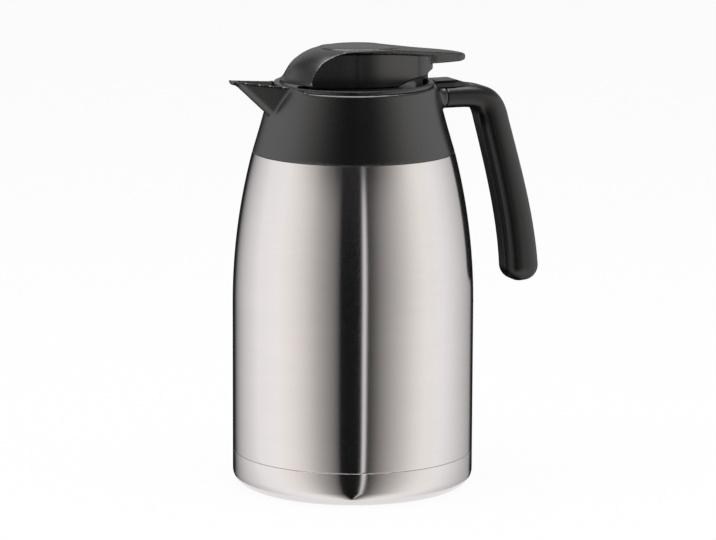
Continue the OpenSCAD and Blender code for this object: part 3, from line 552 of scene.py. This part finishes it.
def along_line(line, x, z):
    """For each place (x, z): its distance from the line, negative on the inner side, the length of line up
    to the nearest point, and the length of line up to each of its corners."""
    run = np.concatenate([[0], np.cumsum(np.hypot(*np.diff(line, axis=0).T))])
    away, station = np.full((x.size, z.size), 1e9), np.zeros((x.size, z.size))
    for i in range(len(line) - 1):
        (ax, az), (bx, bz) = line[i], line[i + 1]
        size = run[i + 1] - run[i]
        t = ((x - ax) * (bx - ax) + (z - az) * (bz - az)) / size ** 2
        t = np.clip(t, 0, 1 if i < len(line) - 2 else 9)
        gap = np.hypot(x - ax - t * (bx - ax), z - az - t * (bz - az))
        turn = np.sign((bx - ax) * (z - az) - (bz - az) * (x - ax))
        closer = gap < np.abs(away)
        away = np.where(closer, gap * turn, away)
        station = np.where(closer, run[i] + t * size, station)
    return away, station, run


def handle(material):
    space = Block((44, -16, 100), (114, 16, 222), FINE)
    away, station, run = along_line(grip_line(), space.x[:, :, 0], space.z[0])
    bend_start, bend_middle, bend_end, end = run[8], run[15], run[25], run[-1]
    swell = np.clip((station - bend_start) / (bend_end - bend_start), 0, 1)
    half_t = ARM_HALF_H + (GRIP_TOP_T - ARM_HALF_H) * swell * swell * (3 - 2 * swell)
    half_t = half_t + (GRIP_END_T - GRIP_TOP_T) * np.clip((station - bend_end) / (end - bend_end), 0, 1)
    half_t = half_t + BEND_SWELL * np.exp(-((station - bend_middle) / 8) ** 2)
    corner = np.minimum(half_t - 0.1, GRIP_CORNER)
    rod = bar(away[:, None, :], space.y, half_t[:, None, :], GRIP_HALF_W, corner[:, None, :])
    solid = meet(rod, (station - end)[:, None, :] - GRIP_TAIL, GRIP_TAIL - 0.5)
    solid = meet(solid, BOSS_X + 0.02 - space.x, 0.1)
    tenon = bar(space.y, space.z - ARM_Z, TENON_HALF_W, TENON_HALF_H, 0)
    tenon = meet(meet(tenon, BOSS_X - SOCKET_L - space.x, 0.4), space.x - BOSS_X - TENON_L)
    return space.skin("grip", np.minimum(solid, tenon), material, "carafe")


grip_plastic = satin_plastic("grip_plastic", 0.6)
grip = handle(grip_plastic)
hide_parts("handle")
finish(grip_plastic, "black_plastic", "handle_cap")
pin_steel = plain_metal("pin_steel", (0.56, 0.56, 0.55), (0.72, 0.71, 0.70), 0.22)
finish(pin_steel, "pin_steel", "handle_screws")


# ----------------------------------------------------------------- stopper
# The plug screws into the throat over a silicone gasket. Its flange closes the
# basin and carries the lugs that the lid turns on. The valve's stem, its spring
# and the cross pins of drawn wire sit inside.

finish(seal_grey, "silicone", "stopper_seal", "valve_seal")
finish(plastic, "black_plastic", "stopper_body", "valve_seat", "valve_stem")
finish(pin_steel, "pin_steel", "hinge_pin", "valve_spring", "stem_pin")


# --------------------------------------------------------------------- lid
# A see-saw cover: the hood over the beak and the thumb tongue behind are one
# moulding. Pressing the tongue lifts the hood and, through the fork, the valve.

HINGE_X, HINGE_Z, PIN_R, PIN_HALF_L, PIN_PLAY = 19.0, RIM_Z + 5.7, 1.6, 14.9, 0.05
LID_FOOT_Z, HOOD_FOOT_Z, HOOD_BACK_X, TONGUE_ROOT_X = 220.3, 223.4, -29.5, 34
CROWN_X, CROWN_RX, CROWN_RY, CROWN_MEAN_R, CROWN_STEP = 3.8, 22, 16.5, 18, 0.5
CREASE, CREASE_IN, CREASE_W, CHEEK_INSET = 0.8, 0.2, 0.7, 0.6
LID_WALL, EAR_T, FORK_TOP_Z = 2.2, 3.0, 238.2
PLATE_ROUND, STEP_ROUND, TONGUE_ROUND, SKIRT_ROUND = 0.8, 0.35, 1.4, 0.4
LID_FINE = 0.4
DOME = ((42.4, 222), (41.2, 223.2), (38.9, 225.35), (37.6, 227.55), (36.35, 229.75), (34.95, 231.9),
        (33.1, 234), (30.7, 236), (27.8, 238), (23.8, 239.9), (19.4, 241), (12, 241.8), (0, 242.1))
PLATE_HALF = ((-46, 48), (-36, 32), (-33, 26), (-30, 22.9), (-28, 21), (-23.5, 19.2), (-16, 18.2), (-8, 17.8),
              (5, 17.7), (12, 17.5), (20, 16.3), (27, 15), (32, 14), (37.4, 12.2), (42, 11), (46, 10.3),
              (52, 9.4), (57.5, 8.4))
CHEEK_HALF = ((-33, 9), (-24, 10.4), (-16, 11.9), (-11, 13), (-6, 14.35), (-1, 15.9), (5.5, 17), (12, 16.8),
              (22, 15.3), (32, 13.3))
CHEEK_BACK = arc((32, 0), 13.4, 13.3, 84, 0, 16)
PLATE_EDGE = ((-32.6, 221), (-32.4, 224.7), (-30.8, 228.5), (-28, 232.3), (-23.5, 236), (-15.8, 239),
              (-7.9, 239.8), (3, 239.6), (11.7, 239.2), (20.5, 238.5), (37.4, 236.7), (44, 235.9), (48, 235.4))
ROOF_LINE = ((-20, 237.8), (-14, 240), (-8, 241), (12, 240.8), (21, 240.1), (31.4, 238.9), (37.4, 238.2),
             (46.4, 237.3), (54, 236.5), (62, 235.5), (67, 234.8))
TONGUE_HALF = ((34, 9.6), (43, 10.4), (46, 10.3), (52, 9.4), (57.5, 8.4))
TONGUE_TIP = arc((57.5, 0), 7.5, 8.4, 84, 0, 12)
TONGUE_UNDER = ((30, 231), (43, 231.1), (54, 231.2), (60, 231.4), (67, 231.8))
HOLLOW_TOP = ((-31, FORK_TOP_Z), (12, FORK_TOP_Z), (31.4, 236.6), (46, 234.4), (60, 232))
CRESCENT = ((HINGE_X, 219.5), (24, 221.5), (29, 223.2), (34, 224.4), (38.4, 225.6), (40.5, 227), (44, 227.7),
            (49, 227.9))
BELOW, ABOVE = 200, 260


def fair(points, count=5):
    """A smooth path through the points."""
    p = [np.array(point, float) for point in points]
    p = [2 * p[0] - p[1]] + p + [2 * p[-1] - p[-2]]

    def between(a, b, c, d, t):
        bend = (2 * a - 5 * b + 4 * c - d) * t ** 2 + (3 * b - a - 3 * c + d) * t ** 3
        return tuple(b + ((c - a) * t + bend) / 2)

    spans = zip(p, p[1:], p[2:], p[3:])
    return [between(*span, t) for span in spans for t in np.arange(count) / count] + [tuple(p[-2])]


def both_sides(half):
    """A closed outline from the points of its left half."""
    return half + [(x, -y) for x, y in reversed(half) if y > 0]


def roof(space, step):
    """The lid's top face, moved down by step: the turned dome, or the long line to the tongue where that is
    the higher of the two."""
    half = [(r, z - step) for r, z in fair(DOME, 3)]
    whole = half + [(-r, z) for r, z in reversed(half[:-1])]
    dome = space.turned(whole + [(whole[-1][0], BELOW), (whole[0][0], BELOW)])
    line = [(x, z + CROWN_STEP - step) for x, z in fair(ROOF_LINE)]
    return np.minimum(dome, space.side(line + [(line[-1][0], BELOW), (line[0][0], BELOW)]))


def lid():
    space = Block((-46, -34, 219), (67, 34, 245.5), LID_FINE)
    x, y, z = space.x, space.y, space.z
    top = roof(space, CROWN_STEP)
    plan = space.plan(both_sides(fair(PLATE_HALF) + TONGUE_TIP))
    cheek = space.plan(both_sides([(-33, 0)] + fair(CHEEK_HALF) + CHEEK_BACK))
    edge = space.side([(-90, ABOVE), (-90, BELOW), (PLATE_EDGE[0][0], BELOW)] + fair(PLATE_EDGE)
                      + [(90, 236.4), (90, ABOVE)])

    plate = meet(meet(meet(top, plan, PLATE_ROUND), edge, STEP_ROUND), HOOD_FOOT_Z - z, SKIRT_ROUND)
    disc = (np.hypot((x - CROWN_X) / CROWN_RX, y / CROWN_RY) - 1) * CROWN_MEAN_R
    crown = meet(meet(roof(space, 0), disc, STEP_ROUND), edge + 0.3)
    crease = CREASE * np.exp(-((edge - CREASE_IN) / CREASE_W) ** 2)
    cheeks = meet(meet(cheek + crease, top + CHEEK_INSET), LID_FOOT_Z - z, SKIRT_ROUND)
    under = space.side(fair(TONGUE_UNDER) + [(67, ABOVE), (30, ABOVE)])
    tongue = meet(top, space.plan(both_sides(fair(TONGUE_HALF) + TONGUE_TIP)), TONGUE_ROUND)
    tongue = meet(meet(tongue, under, TONGUE_ROUND), TONGUE_ROOT_X - x)
    body = np.minimum(np.minimum(cheeks, plate), np.minimum(crown, tongue))

    hollow = space.side([(HOLLOW_TOP[0][0], BELOW)] + list(HOLLOW_TOP) + [(HOLLOW_TOP[-1][0], BELOW)])
    hollow = meet(meet(cheek, top) + LID_WALL, hollow)
    hood_in = meet(meet(top + LID_WALL, plan + LID_WALL), x - HOOD_BACK_X)
    body = without(body, join(hollow, hood_in, 1.0), 0.3)

    ear_r, ear_top = PIN_R + 1, 239
    ear = space.side(arc((HINGE_X, HINGE_Z), ear_r, ear_r, -180, 0, 12)
                     + [(HINGE_X + ear_r, ear_top), (HINGE_X - ear_r, ear_top)])
    ear = meet(ear, np.abs(np.abs(y) - PIN_HALF_L + EAR_T / 2 + 0.1) - EAR_T / 2, 0.3)
    bore = meet(np.hypot(x - HINGE_X, z - HINGE_Z) - PIN_R - PIN_PLAY, np.abs(y) - PIN_HALF_L - 0.03)
    body = without(np.minimum(body, ear), bore)
    crescent = space.side([(HINGE_X, 205)] + fair(CRESCENT) + [(CRESCENT[-1][0], 205)])
    body = without(body, crescent, SKIRT_ROUND)
    return space.skin("see_saw_cover", body, plastic, "lid")


cover_piece = lid()
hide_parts("lid_cover")
finish(plastic, "black_plastic", "lid_fork")


# ------------------------------------------------------------------ camera
# A long lens on a tripod, a little above the lid, turned so that the beak
# points left and towards it.

CAMERA_TURN, CAMERA_RANGE, CAMERA_HEIGHT = radians(-22), 2.10, 0.505
AIM_SIDE, AIM_HEIGHT, LENS, SENSOR, FAR, ROLL = 0.0027, 0.118, 196, 36, 20, radians(0.24)
across = Vector((cos(CAMERA_TURN), sin(CAMERA_TURN), 0))
towards = Vector((sin(CAMERA_TURN), -cos(CAMERA_TURN), 0))
camera = bpy.data.objects.new("camera", bpy.data.cameras.new("camera"))
scene.collection.objects.link(camera)
scene.camera = camera
camera.data.lens, camera.data.sensor_width, camera.data.clip_end = LENS, SENSOR, FAR
camera.location = towards * CAMERA_RANGE + across * AIM_SIDE + Vector((0, 0, CAMERA_HEIGHT))
aim = across * AIM_SIDE + Vector((0, 0, AIM_HEIGHT))
look = (aim - camera.location).to_track_quat("-Z", "Y").to_matrix()
camera.rotation_euler = (look @ Matrix.Rotation(ROLL, 3, "Z")).to_euler()


# ------------------------------------------------------------------ studio
# A white cyclorama with soft boxes above and on both sides. A tent of tracing
# paper, with black and grey cards in it, draws the reflections on the steel.

scene.view_settings.view_transform = "Standard"
WHITE_LIT, WHITE = 0.35, (1, 1, 1, 1)


def seen(paint):
    """1 for what is seen straight or in a reflection, and 0 for the light that falls on the carafe."""
    path = paint.node("ShaderNodeLightPath")
    return path["Is Camera Ray"] + path["Is Glossy Ray"] + path["Is Transmission Ray"]


sky = Paint("studio", bpy.data.worlds)
level = sky.node("ShaderNodeMapRange", None, {"Value": seen(sky), "To Min": WHITE_LIT, "To Max": 1.0})[0]
shine = sky.node("ShaderNodeBackground", None, {"Color": WHITE, "Strength": level})[0]
scene.world = sky.output(shine, "ShaderNodeOutputWorld")


def around(turn, reach, height):
    """A place round the carafe: turn in degrees from the camera, positive to its right."""
    a = radians(turn)
    return (towards * cos(a) + across * sin(a)) * reach + Vector((0, 0, height))


def soft_box(name, turn, reach, height, size, power, mirrored=True):
    """A soft box round the carafe, turned to its middle. Without mirrored it shows in no reflection."""
    lamp = bpy.data.lights.new(name, "AREA")
    lamp.shape = "RECTANGLE"
    lamp.size, lamp.size_y = size
    lamp.energy = power
    box = bpy.data.objects.new(name, lamp)
    scene.collection.objects.link(box)
    box.visible_glossy = mirrored
    box.location = around(turn, reach, height)
    box.rotation_euler = (Vector((0, 0, 0.15)) - box.location).to_track_quat("-Z", "Y").to_euler()


def stage_mesh(name, points, faces, material):
    """A mesh of the studio, which isn't part of the carafe."""
    mesh = bpy.data.meshes.new(name)
    mesh.from_pydata(points, [], faces)
    mesh.materials.append(material)
    obj = bpy.data.objects.new(name, mesh)
    scene.collection.objects.link(obj)
    return obj


TENT_R, TENT_H, ROOF_R, ROOF_H, TENT_STEPS = 1.5, 1.0, 0.9, 1.5, 96
TONES = ((-153, 0.015), (-150, 0.10), (-141, 0.37), (-130, 0.60), (-119, 0.76), (-110, 0.87), (-100, 1.0),
         (-76, 1.05), (-64, 0.98), (-53, 0.87), (-43, 0.71), (-33, 0.49), (-18, 0.22), (-13.5, 0.11),
         (-11.5, 0.006), (8.6, 0.006), (9.8, 0.9), (12.0, 0.9), (13.2, 0.015), (19.7, 0.115), (29.4, 0.31),
         (44.5, 0.58), (60, 0.85), (72, 0.98), (92, 1.0), (105, 0.90), (122, 0.70), (146, 0.41), (150, 0.25),
         (153, 0.015))
FLAGS = ((-75, 1), (-45, 0.62), (-24, 0.2), (-17, 0), (21, 0), (30, 0.3), (50, 0.75), (70, 1))
WARM, WARM_FROM, WARM_TO = (1.02, 1.0, 0.96), 15, 75
BACK_TONE, LEAN, TENT_FOOT_R = 0.4, 3.1, 0.0672
FLAG_FOOT, HIGH_FADE = ((0.37, 0), (0.44, 1)), ((0.45, 1.0), (0.72, 0.35))
CARD_SIDE, CARD_FOOT = ((0.80, 0), (0.86, 1)), ((0.19, 0), (0.24, 1))


def tent():
    """Tracing paper round the set and on the floor, seen only in reflections. TONES say how light it is by
    degrees round the carafe, from the camera to its right. They are laid out by the heading in which the
    body's wall sends the view, up to LEAN degrees farther round, so that a tone keeps to one upright line
    on the steel. FLAGS dim its upper part near the camera, and a grey card hangs behind the carafe."""
    paint = Paint("tent_paper")
    spot = paint.node("ShaderNodeSeparateXYZ", None, {0: paint.node("ShaderNodeTexCoord")["Object"]})
    ahead, height = spot["Y"] * -1, spot["Z"] / ROOF_H
    turn = paint.math("ARCTAN2", spot["X"], ahead)
    wall_x = paint.math("SINE", turn * 0.5) * (BODY_R * MM)
    wall_y = paint.math("COSINE", turn * 0.5) * (BODY_R * MM)
    heading = paint.math("ARCTAN2", spot["X"] - wall_x, ahead - wall_y)

    def colour(angle, tone):
        return tuple(tone * w for w in WARM) if WARM_FROM < abs(angle) < WARM_TO else tone

    def place(angle):
        return 0.5 + (angle + LEAN * sin(radians(angle / 2))) / 360

    stops = [(place(angle), colour(angle, tone)) for angle, tone in TONES]
    tone = paint.ramp(heading / (2 * pi) + 0.5, *stops)
    flag = paint.ramp(turn / (2 * pi) + 0.5, *((0.5 + angle / 360, share) for angle, share in FLAGS))
    upper = paint.ramp(height, *FLAG_FOOT) * (1 - flag)
    share = paint.ramp(height, *HIGH_FADE) * (1 - upper)
    behind = paint.ramp(paint.math("ABSOLUTE", turn / pi), *CARD_SIDE) * paint.ramp(height, *CARD_FOOT)
    tone = paint.mix(behind, paint.mix(share, (0, 0, 0), tone), (BACK_TONE,) * 3)
    paint.output(paint.node("ShaderNodeEmission", None, {"Color": tone, "Strength": 1.0})[0])

    rings = ((TENT_FOOT_R, 0), (TENT_R, 0), (TENT_R, TENT_H), (ROOF_R, ROOF_H))
    turns = [2 * pi * i / TENT_STEPS for i in range(TENT_STEPS)]
    points = [(r * sin(a), -r * cos(a), z) for r, z in rings for a in turns]
    faces = [(k + i, k + (i + 1) % TENT_STEPS, k + TENT_STEPS + (i + 1) % TENT_STEPS, k + TENT_STEPS + i)
             for k in range(0, TENT_STEPS * (len(rings) - 1), TENT_STEPS) for i in range(TENT_STEPS)]
    obj = stage_mesh("tent", points, faces, paint.owner)
    obj.rotation_euler.z = CAMERA_TURN
    obj.visible_camera = obj.visible_shadow = obj.visible_diffuse = False


tent()
soft_box("top_box", -20, 0.15, 1.45, (1.5, 1.5), 20)
soft_box("left_box", -75, 1.2, 0.9, (0.6, 1.0), 3, mirrored=False)
soft_box("right_box", 75, 1.2, 0.9, (0.6, 1.0), 3, mirrored=False)

FLOOR_Z, FLOOR_HALF, FLOOR_WHITE = -0.0004, 6, 0.94
pale = Paint("pale_floor")
white = pale.node("ShaderNodeEmission", None, {"Color": WHITE, "Strength": 1.0})[0]
matte = pale.node("ShaderNodeBsdfDiffuse", None, {"Color": (0.8, 0.8, 0.8, 1)})[0]
pale.output(pale.node("ShaderNodeMixShader", None, {0: seen(pale) * FLOOR_WHITE, 1: matte, 2: white})[0])
corners = [(x * FLOOR_HALF, y * FLOOR_HALF, FLOOR_Z) for x, y in ((-1, -1), (1, -1), (1, 1), (-1, 1))]
stage_mesh("floor", corners, [(0, 1, 2, 3)], pale.owner)
